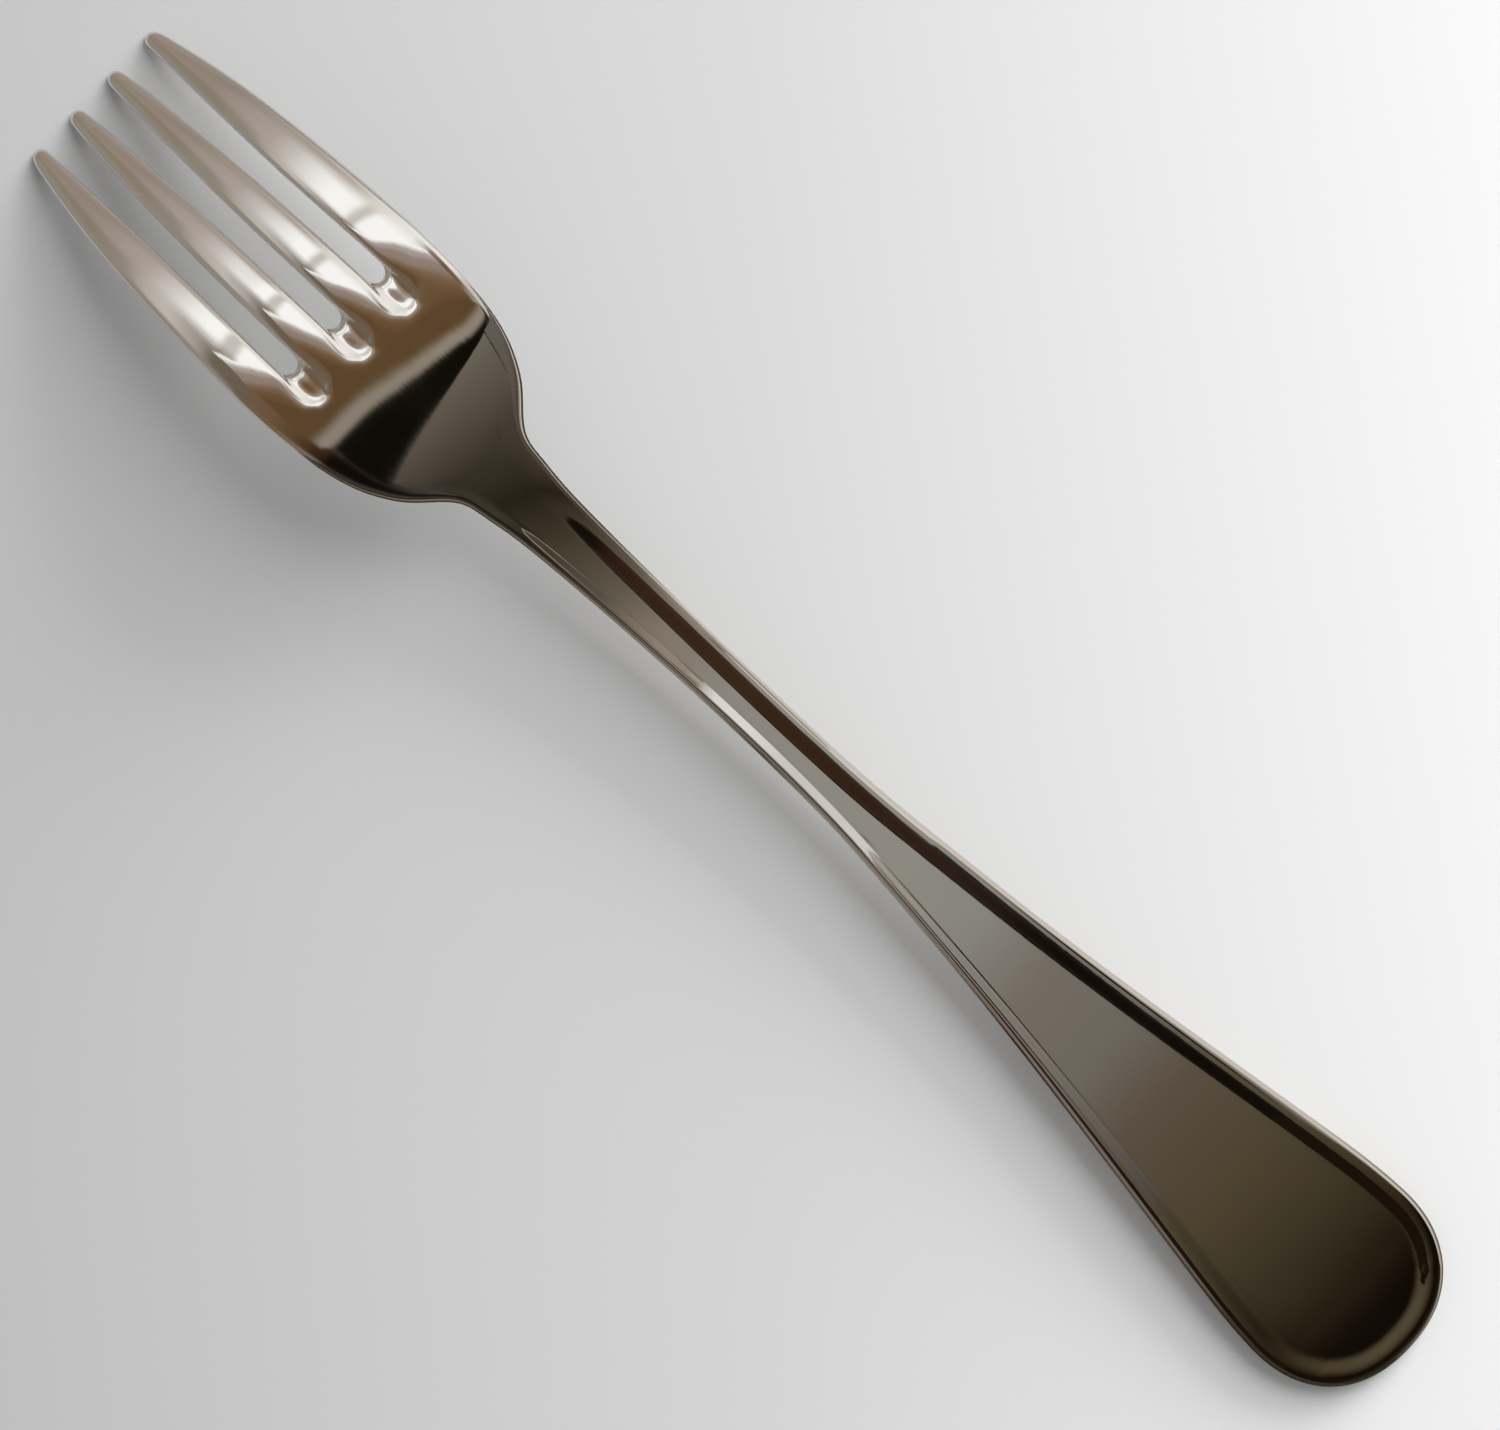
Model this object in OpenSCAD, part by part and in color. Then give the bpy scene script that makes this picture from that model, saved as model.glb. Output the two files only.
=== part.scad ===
// Dinner fork pressed from one steel blank, lying back up on its points and its handle's end.
// X runs along the fork with the points at +X, Y across it and Z up, all in millimetres.
// Places along the fork are told by s, the distance from the points.
// The zones of the blank meet face to face: handle, neck, head base and four tines.

/* [Head] */
// Length of the tines, from the points to the slot bottoms
tine_length = 36.5; // [32:0.5:41]
// Length of the head base, from the slot bottoms to the neck
base_length = 23; // [20:0.5:27]
// Width of the head at its widest, by the slot bottoms
head_width = 26; // [25:0.25:28]
// Width of each slot at its bottom
slot_width = 2.3; // [1.9:0.1:2.9]
// Distance between neighbouring slots at their bottoms
slot_spacing = 6.6; // [6.2:0.1:7]
// Distance between neighbouring points
point_spacing = 5.8; // [5:0.1:6.2]
// Width of each tine just behind its rounded point
point_width = 2; // [1.4:0.1:2.4]
// Length of the rounded point
point_round = 1.3; // [0.9:0.1:1.8]
// Thickness of the tines at the points
point_thickness = 1.3; // [0.9:0.1:1.6]
// Thickness of the tines at the slot bottoms and of the head base
tine_thickness = 2; // [1.7:0.1:2.3]
// Radius of the softened edges of the head
head_edge = 0.6; // [0.3:0.05:0.8]
// How far the metal swells inside its softened edges, on each face
crown = 0.1; // [0.05:0.05:0.25]
// Height of the middle of the metal at the top of the head's bend
head_rise = 15; // [11:0.5:19]
// Length of the polished hollow that runs out past each slot bottom
runout_length = 5; // [3:0.5:7]
// Depth of that hollow at the slot bottom
runout_depth = 1.2; // [0.6:0.1:1.4]
// How far that hollow is wider than the slot on each side
runout_flare = 0.5; // [0.3:0.1:0.8]

/* [Neck] */
// Length of the neck, from the head base to the handle
neck_length = 60; // [50:1:72]
// Width where the neck leaves the head base
shoulder_width = 10.4; // [9:0.1:12]
// Width of the neck at its narrowest
neck_width = 5.9; // [5.2:0.1:7]
// Thickness of the neck at its narrowest
neck_thickness = 3.3; // [2.8:0.1:3.8]
// Height of the middle of the metal there
neck_rise = 5.8; // [4:0.2:8]

/* [Handle] */
// Length of the handle, from the neck to its end
handle_length = 75.5; // [65:0.5:88]
// Width where the handle leaves the neck
grip_width = 7.6; // [6.8:0.1:8.6]
// Width of the handle at its widest
handle_width = 23.6; // [20:0.2:26]
// Length of the rounded end of the handle
end_length = 12; // [9:0.5:15]
// Thickness of the handle inside its raised border
handle_thickness = 2; // [1.7:0.1:2.5]
// Radius of the softened edges of the handle and neck
handle_edge = 0.9; // [0.6:0.05:0.95]
// Width of the raised border on both faces
border_width = 2.3; // [1.8:0.1:2.6]
// Height of the raised border
border_height = 0.25; // [0.15:0.05:0.45]

/* [Hidden] */

steel_colour = [0.62, 0.60, 0.56];
handle_colour = [0.42, 0.40, 0.35];
slot_facets = 48;
zone_steps = 30;
tip_steps = 6;
end_steps = 14;
// How far a cut runs past the metal
overrun = 1;
// How blunt the rounded end is, where 2 is an ellipse
end_power = 2.25;

base_start = tine_length;
neck_start = base_start + base_length;
handle_start = neck_start + neck_length;
end_start = handle_start + handle_length - end_length;
fork_length = handle_start + handle_length;

// Height of the middle of the metal where the points and the handle's end touch the table
point_seat_share = 0.213;
point_seat = point_thickness * point_seat_share;
end_seat = handle_thickness / 2 + border_height;

// Each pair is a share of a zone's length and a share of the way from one size to the next
tine_height_shares = [[0, 0], [0.25, 0.31], [0.5, 0.585], [0.75, 0.81]];
base_height_shares = [[0, 0.955], [0.28, 1], [0.54, 0.92], [0.78, 0.72], [1, 0.52]];
neck_height_shares = [[0.12, 0.3], [0.26, 0.15], [0.44, 0.05], [0.63, 0]];
handle_height_shares = [[0, 0.83], [0.4, 0.57], [0.7, 0.34], [0.85, 0.19], [1, 0]];

tine_thickness_shares = [[0, 0], [0.25, 0.6], [0.7, 0.95], [1, 1]];
neck_thickness_shares = [[-0.3, 0.06], [-0.14, 0.3], [0.03, 0.68], [0.18, 0.9], [0.44, 1], [0.63, 1]];
handle_thickness_shares = [[0, 0.74], [0.3, 0.36], [0.6, 0.1], [0.84, 0], [1, 0]];

taper_shares = [[0, 0], [0.08, 0.12], [0.19, 0.37], [0.31, 0.59], [0.48, 0.8], [0.7, 0.95], [1, 1]];
splay_shares = [[0, 0], [0.15, 0.27], [0.31, 0.5], [0.6, 0.74], [0.85, 0.93], [1, 1]];

base_width_shares = [[0, 1], [0.25, 0.975], [0.4, 0.935], [0.55, 0.86], [0.67, 0.75],
                     [0.77, 0.6], [0.86, 0.41], [0.94, 0.16], [1, 0]];
shoulder_shares = [[0.05, 0.64], [0.09, 0.48], [0.16, 0.31], [0.27, 0.18], [0.42, 0.07], [0.62, 0]];
grip_shares = [[0.8, 0.13], [0.9, 0.42]];
handle_width_shares = [[0, 0], [0.1, 0.075], [0.25, 0.2], [0.4, 0.35], [0.55, 0.52],
                       [0.7, 0.7], [0.85, 0.88], [0.94, 0.97], [1, 1]];

// The border rises out of the neck between these two shares of the neck's length
border_fade_shares = [0.03, 0.22];

// The softened edge, as shares of its radius and of half the thickness
edge_shares = [[0, 0], [0.2, 0.6], [0.55, 0.9], [1, 1]];
// How much of the border's height each of those points carries
edge_lift_shares = [0, 0.1, 0.5, 0.85];
// The border's crest and inner foot, as shares of its width inside the edge and of its height
border_shares = [[0.25, 1], [0.6, 0.55], [1, 0]];

function mix(a, b, share) = a + (b - a) * share;

// The stretch of a table of [place, value] pairs that holds a place
function stretch(table, place, i = 0) =
    i >= len(table) - 2 || place < table[i + 1][0] ? i : stretch(table, place, i + 1);

// The slope of a table at one of its pairs
function slope(table, i) =
    let (a = table[max(i - 1, 0)])
    let (b = table[min(i + 1, len(table) - 1)])
    (b[1] - a[1]) / (b[0] - a[0]);

// A smooth curve through a table of [place, value] pairs
function curve(table, place) =
    let (i = stretch(table, place))
    let (run = table[i + 1][0] - table[i][0])
    let (t = min(max((place - table[i][0]) / run, 0), 1))
    let (near = (1 + 2 * t) * pow(1 - t, 2))
    let (far = t * t * (3 - 2 * t))
    let (near_slope = t * pow(1 - t, 2) * run)
    let (far_slope = t * t * (t - 1) * run)
    near * table[i][1] + far * table[i + 1][1]
        + near_slope * slope(table, i) + far_slope * slope(table, i + 1);

// Shares of a zone turned into [place, size] pairs
function zone(shares, start, length, size_0, size_1) =
    [for (p = shares) [start + length * p[0], mix(size_0, size_1, p[1])]];

height_table = concat(
    zone(tine_height_shares, 0, tine_length, point_seat, head_rise),
    zone(base_height_shares, base_start, base_length, neck_rise, head_rise),
    zone(neck_height_shares, neck_start, neck_length, neck_rise, head_rise),
    zone(handle_height_shares, handle_start, handle_length, end_seat, neck_rise));

thickness_table = concat(
    zone(tine_thickness_shares, 0, tine_length, point_thickness, tine_thickness),
    zone(neck_thickness_shares, neck_start, neck_length, tine_thickness, neck_thickness),
    zone(handle_thickness_shares, handle_start, handle_length, handle_thickness, neck_thickness));

width_table = concat(
    zone(base_width_shares, base_start, base_length, shoulder_width / 2, head_width / 2),
    zone(shoulder_shares, neck_start, neck_length, neck_width / 2, shoulder_width / 2),
    zone(grip_shares, neck_start, neck_length, neck_width / 2, grip_width / 2),
    zone(handle_width_shares, handle_start, end_start - handle_start, grip_width / 2, handle_width / 2));

edge_table = zone([[0, 0], [1, 1]], base_start, base_length, head_edge, handle_edge);

function height(s) = curve(height_table, s);
function thickness(s) = curve(thickness_table, s);
function half_width(s) = curve(width_table, s);
function edge(s) = curve(edge_table, s);

// Smooth step from 0 to 1 as the border rises out of the neck
function border_rise(s) =
    let (from = neck_start + neck_length * border_fade_shares[0])
    let (to = neck_start + neck_length * border_fade_shares[1])
    let (t = min(max((s - from) / (to - from), 0), 1))
    border_height * t * t * (3 - 2 * t);

// Points of one quarter of a section, from its widest point up to the flat, as [inset, height]
function edge_points(s) =
    [for (k = [0 : len(edge_shares) - 1])
        [edge(s) * edge_shares[k][0],
         thickness(s) / 2 * edge_shares[k][1] + border_rise(s) * edge_lift_shares[k]]];
function border_points(s) =
    [for (p = border_shares)
        [mix(edge(s), border_width, p[0]),
         thickness(s) / 2 + border_rise(s) * p[1] + crown * (1 - pow(1 - p[0], 2))]];
function quarter(s, bordered) = bordered ? concat(edge_points(s), border_points(s)) : edge_points(s);

// Right side of a section, from its lower flat to its upper flat
function flank(q) =
    concat([for (k = [len(q) - 1 : -1 : 1]) [q[k][0], -q[k][1]]], q);

// A whole section as points in space, s from the points, centred on across
function section(s, across, half, q) =
    let (f = flank(q))
    let (place = fork_length / 2 - s)
    concat(
        [for (p = f) [place, across - half + p[0], height(s) + p[1]]],
        [for (k = [len(f) - 1 : -1 : 0]) [place, across + half - f[k][0], height(s) + f[k][1]]]);

// Solid through a row of closed rings with equal numbers of points
module loft(rings) {
    count = len(rings[0]);
    final = (len(rings) - 1) * count;
    points = [for (ring = rings) each ring];
    walls = [for (i = [0 : len(rings) - 2], k = [0 : count - 1])
        let (a = i * count + k)
        let (b = i * count + (k + 1) % count)
        each [[a, b + count, b], [a, a + count, b + count]]];
    // The end faces are ladders between the two sides of a ring, closed by one face if it is odd
    rungs = [for (k = [0 : floor((count - 3) / 2)])
        let (a = k)
        let (b = count - 1 - k)
        each (b - a == 2 ? [[a, b, a + 1]] : [[a, b, b - 1], [a, b - 1, a + 1]])];
    near = [for (f = rungs) [f[2], f[1], f[0]]];
    far = [for (f = rungs) [f[0] + final, f[1] + final, f[2] + final]];
    polyhedron(points, concat(walls, near, far), convexity = 6);
}

// Centre and width of each tine at the slot bottoms, from the middle slot outwards
inner_centre = slot_spacing / 2;
inner_width = slot_spacing - slot_width;
outer_width = head_width / 2 - slot_spacing - slot_width / 2;
outer_centre = head_width / 2 - outer_width / 2;

// One tine, whose rounded point is drawn in by the last few sections
module tine(root_centre, root_width, point_centre, side) {
    round_places = [for (k = [0 : tip_steps]) point_round * (1 - cos(90 * k / tip_steps))];
    long_places = [for (k = [1 : zone_steps]) mix(point_round, tine_length, k / zone_steps)];
    tip_share = 0.3;
    function roundness(s) = s >= point_round ? 1
        : max(tip_share, sqrt(1 - pow((point_round - s) / point_round, 2)));
    function full_width(s) =
        mix(point_width, root_width, curve(taper_shares, s / tine_length)) * roundness(s);
    function centre(s) = mix(point_centre, root_centre, curve(splay_shares, s / tine_length));
    function drawn_in(s) =
        [for (p = quarter(s, false)) [p[0] * roundness(s), p[1] * roundness(s)]];
    loft([for (s = concat(round_places, long_places))
        section(s, side * centre(s), full_width(s) / 2, drawn_in(s))]);
}

module tine_1() {
    color(steel_colour) tine(outer_centre, outer_width, point_spacing * 3 / 2, -1);
}

module tine_2() {
    color(steel_colour) tine(inner_centre, inner_width, point_spacing / 2, -1);
}

module tine_3() {
    color(steel_colour) tine(inner_centre, inner_width, point_spacing / 2, 1);
}

module tine_4() {
    color(steel_colour) tine(outer_centre, outer_width, point_spacing * 3 / 2, 1);
}

// Round bottom of a slot, cut right through
module slot_bottom(across) {
    tall = tine_thickness + 2 * overrun;
    translate([fork_length / 2 - base_start, across, height(base_start) - tall / 2])
        cylinder(h = tall, d = slot_width, $fn = slot_facets);
}

// Hollow in the back that runs out past the slot bottom
module slot_runout(across) {
    radius = slot_width / 2 + runout_flare;
    reach = slot_width / 2 + runout_length;
    back = height(base_start) + tine_thickness / 2;
    tilt = atan(runout_depth / reach);
    translate([fork_length / 2 - base_start, across, back - runout_depth])
        rotate([0, tilt - 90, 0])
            translate([radius, 0, 0])
                cylinder(h = 2 * reach, r = radius, $fn = slot_facets);
}

module head_base() {
    places = [for (k = [0 : zone_steps]) mix(base_start, neck_start, k / zone_steps)];
    color(steel_colour) difference() {
        loft([for (s = places) section(s, 0, half_width(s), quarter(s, true))]);
        for (across = [-slot_spacing, 0, slot_spacing]) {
            slot_bottom(across);
            slot_runout(across);
        }
    }
}

module neck() {
    places = [for (k = [0 : zone_steps]) mix(neck_start, handle_start, k / zone_steps)];
    color(handle_colour)
        loft([for (s = places) section(s, 0, half_width(s), quarter(s, true))]);
}

// Outline of the handle drawn in by an inset, from the neck round the end and back, as [s, y]
function side_outline(inset, side) =
    [for (k = [0 : zone_steps - 1])
        let (s = mix(handle_start, end_start, k / zone_steps))
        [s, side * (half_width(s) - inset)]];
function end_outline(inset) =
    [for (k = [0 : 2 * end_steps])
        let (a = 90 - 90 * k / end_steps)
        let (along = pow(cos(a), 2 / end_power))
        let (out = sign(a) * pow(abs(sin(a)), 2 / end_power))
        [end_start + (end_length - inset) * along, (handle_width / 2 - inset) * out]];
function outline(inset) =
    let (back = side_outline(inset, -1))
    concat(side_outline(inset, 1), end_outline(inset), [for (k = [len(back) - 1 : -1 : 0]) back[k]]);

module handle() {
    levels = len(flank(quarter(handle_start, true)));
    count = len(outline(0));
    // Each ring follows the outline at one level of the section, from the lower face to the upper
    rings = [for (level = [0 : levels - 1])
        let (plan = outline(0))
        [for (k = [0 : count - 1])
            let (s = plan[k][0])
            let (level_point = flank(quarter(min(s, end_start), true))[level])
            let (drawn = outline(level_point[0])[k])
            [fork_length / 2 - drawn[0], drawn[1], height(drawn[0]) + level_point[1]]]];
    color(handle_colour) loft(rings);
}

handle();
neck();
head_base();
tine_1();
tine_2();
tine_3();
tine_4();
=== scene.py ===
"""Dinner fork of polished steel, pressed from one blank and lying back up on a pale table.

The whole blank is shaped as one control cage, so that its curves run on from zone to zone. It is
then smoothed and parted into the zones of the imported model. Sizes are in millimetres until the
cage is built. A place along the fork is told by s, the distance from the points.
"""

import logging
import math
from dataclasses import dataclass, field
from enum import Enum
from typing import Sequence

import bmesh
import bpy
from mathutils import Matrix, Vector, noise


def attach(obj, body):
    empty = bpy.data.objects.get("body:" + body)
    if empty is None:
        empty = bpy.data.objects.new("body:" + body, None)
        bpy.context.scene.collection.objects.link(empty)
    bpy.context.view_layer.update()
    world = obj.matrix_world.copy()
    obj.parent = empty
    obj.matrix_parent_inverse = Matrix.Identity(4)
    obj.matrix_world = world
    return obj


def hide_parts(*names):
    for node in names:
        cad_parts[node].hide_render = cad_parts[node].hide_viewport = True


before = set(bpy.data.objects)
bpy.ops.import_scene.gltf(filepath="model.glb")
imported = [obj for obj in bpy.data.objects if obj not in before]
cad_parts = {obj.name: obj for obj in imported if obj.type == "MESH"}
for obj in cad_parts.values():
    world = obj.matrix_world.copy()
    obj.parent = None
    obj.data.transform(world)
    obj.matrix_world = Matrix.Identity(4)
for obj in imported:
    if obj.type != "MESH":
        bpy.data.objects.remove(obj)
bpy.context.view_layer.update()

log = logging.getLogger("fork")

MM = 0.001
Spot = tuple[float, float, float]
Floats = tuple[float, ...]
Pairs = list[tuple[float, float]]
Reach = tuple[float, float, float, float]
Stop = tuple[float, float, float, float]


class Zone(Enum):
    """The zones of the blank, numbered as the cage's faces carry them."""

    TINE_1 = 0
    TINE_2 = 1
    TINE_3 = 2
    TINE_4 = 3
    HEAD_BASE = 4
    NECK = 5
    HANDLE = 6

    @property
    def node(self) -> str:
        """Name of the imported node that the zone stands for."""
        return self.name.lower()


def mix(a: float, b: float, share: float) -> float:
    """Value that lies a share of the way from a to b."""
    return a + (b - a) * share


def ease(start: float, end: float, place: float) -> float:
    """Share of a smooth step from 0 at start to 1 at end, read at place."""
    t = min(max((place - start) / (end - start), 0.0), 1.0)
    return t * t * (3 - 2 * t)


def between(reach: Reach, place: float) -> float:
    """Share that rises from 0 to 1 over the first two places of reach and falls over the last two."""
    return ease(reach[0], reach[1], place) * (1 - ease(reach[2], reach[3], place))


class Sweep:
    """Smooth curve without kinks in its bend through places and values."""

    def __init__(self, pairs: Pairs) -> None:
        """Fits a cubic through the pairs, straight at its two ends.

        Args:
            pairs: Place and value of each point, in order of place.
        """
        self.places = [p for p, _ in pairs]
        self.values = [v for _, v in pairs]
        runs = [b - a for a, b in zip(self.places, self.places[1:])]
        rises = [(b - a) / run for a, b, run in zip(self.values, self.values[1:], runs)]
        self.bends = [0.0] * len(pairs)
        carry: Pairs = [(0.0, 0.0)]
        for i in range(1, len(pairs) - 1):
            share, rest = carry[-1]
            whole = 2 * (runs[i - 1] + runs[i]) - runs[i - 1] * share
            carry.append((runs[i] / whole, (6 * (rises[i] - rises[i - 1]) - runs[i - 1] * rest) / whole))
        for i in range(len(pairs) - 2, 0, -1):
            self.bends[i] = carry[i][1] - carry[i][0] * self.bends[i + 1]

    def at(self, place: float) -> float:
        """Value of the curve at a place, held level beyond its ends.

        Args:
            place: Place to read.

        Returns:
            The curve's value there.
        """
        place = min(max(place, self.places[0]), self.places[-1])
        i = 0
        while i < len(self.places) - 2 and place > self.places[i + 1]:
            i += 1
        run = self.places[i + 1] - self.places[i]
        far = (place - self.places[i]) / run
        near = 1 - far
        bend = (near**3 - near) * self.bends[i] + (far**3 - far) * self.bends[i + 1]
        return near * self.values[i] + far * self.values[i + 1] + bend * run * run / 6


def stretch(shares: Pairs, start: float, length: float, low: float, high: float) -> Pairs:
    """Turns shares of a zone's length, and of the way from low to high, into places and values."""
    return [(start + length * p, mix(low, high, v)) for p, v in shares]


LANES = 7
PERIOD = LANES + 1
COLUMNS = 4 * PERIOD - 1
MIDDLE = COLUMNS // 2
BORDER = 5
FIELD = COLUMNS - 1 - 2 * BORDER


def edge(column: int) -> tuple[int, int]:
    """Columns from this one to the nearest edge of the cage, and that edge's side, -1 or 1."""
    return min(column, COLUMNS - 1 - column), -1 if column < MIDDLE else 1


def lowest(face: bmesh.types.BMFace, layer: bmesh.types.BMLayerItem) -> int:
    """Lowest number that a layer holds at the corners of a face."""
    return min(vert[layer] for vert in face.verts)


@dataclass
class Blank:
    """Sizes and curves that all zones share.

    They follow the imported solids, apart from the dish, wave and dent, which only the looks have. A
    reach names four places: the effect grows between the first two and fades between the last two.
    """

    tine_length: float = 36.5
    base_length: float = 23.0
    neck_length: float = 60.0
    handle_length: float = 75.5
    end_length: float = 12.0
    head_width: float = 26.0
    shoulder_width: float = 10.4
    neck_width: float = 5.9
    grip_width: float = 7.6
    handle_width: float = 23.6
    point_thickness: float = 1.3
    head_thickness: float = 2.0
    neck_thickness: float = 3.3
    handle_thickness: float = 2.0
    head_rise: float = 15.0
    neck_rise: float = 5.8
    point_seat: float = 0.213
    border_height: float = 0.25
    border_start: float = -0.02
    border_full: float = 0.16
    crown: float = 0.1
    dish: float = 0.5
    dish_reach: Reach = (10.0, 32.0, 50.0, 66.0)
    wave: float = 0.012
    wave_length: float = 9.0
    wave_seed: float = 0.3
    dent: float = 0.045
    dent_length: float = 3.2
    dent_seed: float = 4.7
    dent_reach: Reach = (22.0, 30.0, 37.0, 41.0)

    def __post_init__(self) -> None:
        """Works out the zones' places and fits the curves."""
        self.base_start = self.tine_length
        self.neck_start = self.base_start + self.base_length
        self.handle_start = self.neck_start + self.neck_length
        self.end_start = self.handle_start + self.handle_length - self.end_length
        self.length = self.handle_start + self.handle_length
        seat = self.point_thickness * self.point_seat
        end_seat = self.handle_thickness / 2 + self.border_height
        self.height = Sweep(
            stretch(
                [(0, 0), (0.25, 0.31), (0.5, 0.585), (0.75, 0.81)],
                0, self.tine_length, seat, self.head_rise,
            )
            + stretch(
                [(0, 0.955), (0.28, 1), (0.54, 0.925), (0.78, 0.72), (1, 0.516)],
                self.base_start, self.base_length, self.neck_rise, self.head_rise,
            )
            + stretch(
                [(0.12, 0.296), (0.26, 0.15), (0.44, 0.052), (0.63, 0)],
                self.neck_start, self.neck_length, self.neck_rise, self.head_rise,
            )
            + stretch(
                [(0, 0.828), (0.4, 0.573), (0.7, 0.338), (0.85, 0.187), (1, 0)],
                self.handle_start, self.handle_length, end_seat, self.neck_rise,
            )
        )
        self.thickness = Sweep(
            stretch(
                [(0, 0), (0.25, 0.6), (0.7, 0.95), (1, 1)],
                0, self.tine_length, self.point_thickness, self.head_thickness,
            )
            + stretch(
                [(-0.3, 0.06), (-0.14, 0.3), (0.03, 0.68), (0.18, 0.9), (0.44, 1), (0.63, 1)],
                self.neck_start, self.neck_length, self.head_thickness, self.neck_thickness,
            )
            + stretch(
                [(0, 0.74), (0.3, 0.36), (0.6, 0.1), (0.84, 0), (1, 0)],
                self.handle_start, self.handle_length, self.handle_thickness, self.neck_thickness,
            )
        )
        self.half_width = Sweep(
            stretch(
                [
                    (0, 1), (0.25, 0.975), (0.4, 0.935), (0.55, 0.86), (0.67, 0.75), (0.77, 0.6),
                    (0.86, 0.41), (0.94, 0.16), (1, 0),
                ],
                self.base_start, self.base_length, self.shoulder_width / 2, self.head_width / 2,
            )
            + stretch(
                [(0.05, 0.64), (0.09, 0.48), (0.16, 0.31), (0.27, 0.18), (0.42, 0.07), (0.62, 0)],
                self.neck_start, self.neck_length, self.neck_width / 2, self.shoulder_width / 2,
            )
            + stretch(
                [(0.8, 0.13), (0.9, 0.42)],
                self.neck_start, self.neck_length, self.neck_width / 2, self.grip_width / 2,
            )
            + stretch(
                [
                    (0, 0), (0.1, 0.075), (0.25, 0.2), (0.4, 0.35), (0.55, 0.52), (0.7, 0.7), (0.85, 0.88),
                    (0.94, 0.97), (1, 1),
                ],
                self.handle_start, self.end_start - self.handle_start,
                self.grip_width / 2, self.handle_width / 2,
            )
        )
        self.bow = Sweep([
            (0, 0.45), (20, 0.3), (43, 0.13), (60, -0.12), (80, -0.48), (97, -0.66), (120, -0.6),
            (150, -0.26), (175, 0.06), (195, 0.4),
        ])

    def border(self, s: float) -> float:
        """Height of the raised border at s, which grows out of the neck."""
        start = self.neck_start + self.neck_length * self.border_start
        full = self.neck_start + self.neck_length * self.border_full
        return self.border_height * ease(start, full, s)

    def ripple(self, s: float, across: float) -> float:
        """Height of the slight unevenness of the steel, which is stronger at the roots of the tines."""
        x = self.length / 2 - s
        wave = noise.noise(Vector((x / self.wave_length, across / self.wave_length, self.wave_seed)))
        dent = noise.noise(Vector((x / self.dent_length, across / self.dent_length, self.dent_seed)))
        return self.wave * wave + self.dent * between(self.dent_reach, s) * dent

    def point(self, spot: Spot) -> Vector:
        """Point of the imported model's frame, in metres, where a spot of the blank lies."""
        s, across, lift = spot
        drop = self.dish * between(self.dish_reach, s) * (2 * across / self.head_width) ** 2
        height = self.height.at(s) + lift + self.ripple(s, across) - drop
        return Vector((self.length / 2 - s, across + self.bow.at(s), height)) * MM


@dataclass
class Section:
    """How the metal's face rises from its edge, counted in rings of the cage from the outline in."""

    head_levels: Floats = (0.5, 0.86, 0.985, 1.0)
    shaft_levels: Floats = (0.5, 0.86, 1.0, 1.0, 1.0, 1.0)
    border_shares: Floats = (0.1, 0.8, 1.0, 1.0, 0.0, 0.0)
    stem_near: Floats = (0.0, 0.12, 0.48, 0.88, 2.65)
    stem_far: Floats = (0.0, 0.12, 0.45, 0.8, 1.55)
    grip_near: Floats = (0.0, 0.12, 0.6, 1.5, 2.7)
    grip_far: Floats = (0.0, 0.12, 0.55, 1.45, 2.6)
    end_rings: Floats = (0.0, 0.12, 0.58, 1.5, 2.7, 3.3)
    grip_start: float = 118.0
    grip_full: float = 178.0
    inner_step: float = 0.55

    def rings(self, side: int, s: float) -> Floats:
        """Distances of the border's rings from the edge on this side at s, outline first."""
        stem, grip = (self.stem_near, self.grip_near) if side < 0 else (self.stem_far, self.grip_far)
        share = ease(self.grip_start, self.grip_full, s)
        return tuple(mix(a, b, share) for a, b in zip(stem, grip))

    def shaft_lift(self, ring: int, half: float, border: float) -> float:
        """Height of a ring over the middle of the metal, from half its thickness and the border's height."""
        ring = min(ring, BORDER)
        return half * self.shaft_levels[ring] + border * self.border_shares[ring]


@dataclass
class Row:
    """One row of the cage across the fork."""

    zone: Zone
    place: float
    index: int


@dataclass(frozen=True)
class Arc:
    """One ring of the cage round a slot bottom, whose levels are shares of half the thickness."""

    centre: float
    radius: float
    side_level: float
    end_level: float


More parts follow.
